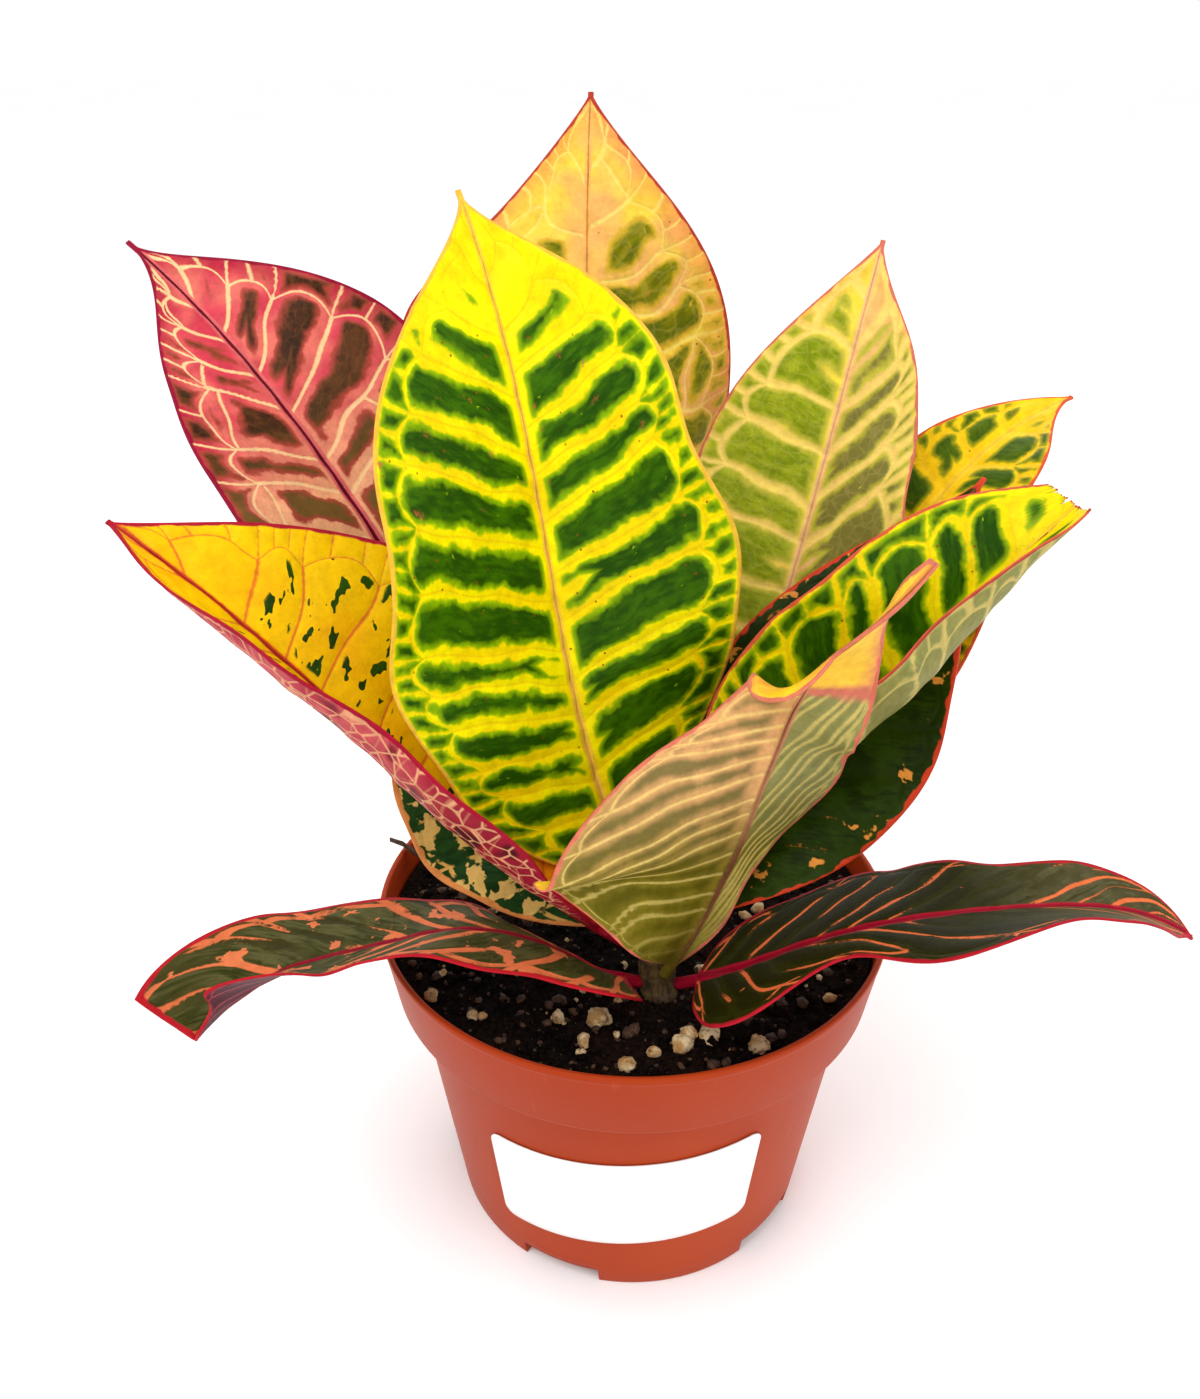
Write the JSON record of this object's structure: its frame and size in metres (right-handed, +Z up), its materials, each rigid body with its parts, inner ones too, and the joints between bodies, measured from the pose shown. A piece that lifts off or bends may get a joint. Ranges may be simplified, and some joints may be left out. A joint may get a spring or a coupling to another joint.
{
  "type": "potted croton",
  "caption": "Young croton with broad variegated leaves, growing in a round terracotta-coloured plastic nursery pot with a blank label.",
  "frame": {"origin": "on the pot's axis, at the level that the pot stands on", "axes": "+Z up along the pot's axis, -Y towards the side with the label"},
  "size_m": [0.1985, 0.1153, 0.2229],
  "materials": {
    "pot": "satin",
    "label": "smooth",
    "soil": "crumbly",
    "stem": "matt",
    "leaf_01": "waxy",
    "leaf_02": "waxy",
    "leaf_03": "waxy",
    "leaf_04": "waxy",
    "leaf_05": "waxy",
    "leaf_06": "waxy",
    "leaf_07": "waxy",
    "leaf_08": "waxy",
    "leaf_09": "waxy",
    "leaf_10": "waxy",
    "leaf_11": "waxy",
    "leaf_12": "waxy"
  },
  "bodies": {
    "root": {"pot": "pot", "label": "label", "soil": "soil", "stem": "stem", "leaf_01": "leaf_01", "leaf_02": "leaf_02", "leaf_03": "leaf_03", "leaf_04": "leaf_04", "leaf_05": "leaf_05", "leaf_06": "leaf_06", "leaf_07": "leaf_07", "leaf_08": "leaf_08", "leaf_09": "leaf_09", "leaf_10": "leaf_10", "leaf_11": "leaf_11", "leaf_12": "leaf_12"}
  },
  "joints": []
}
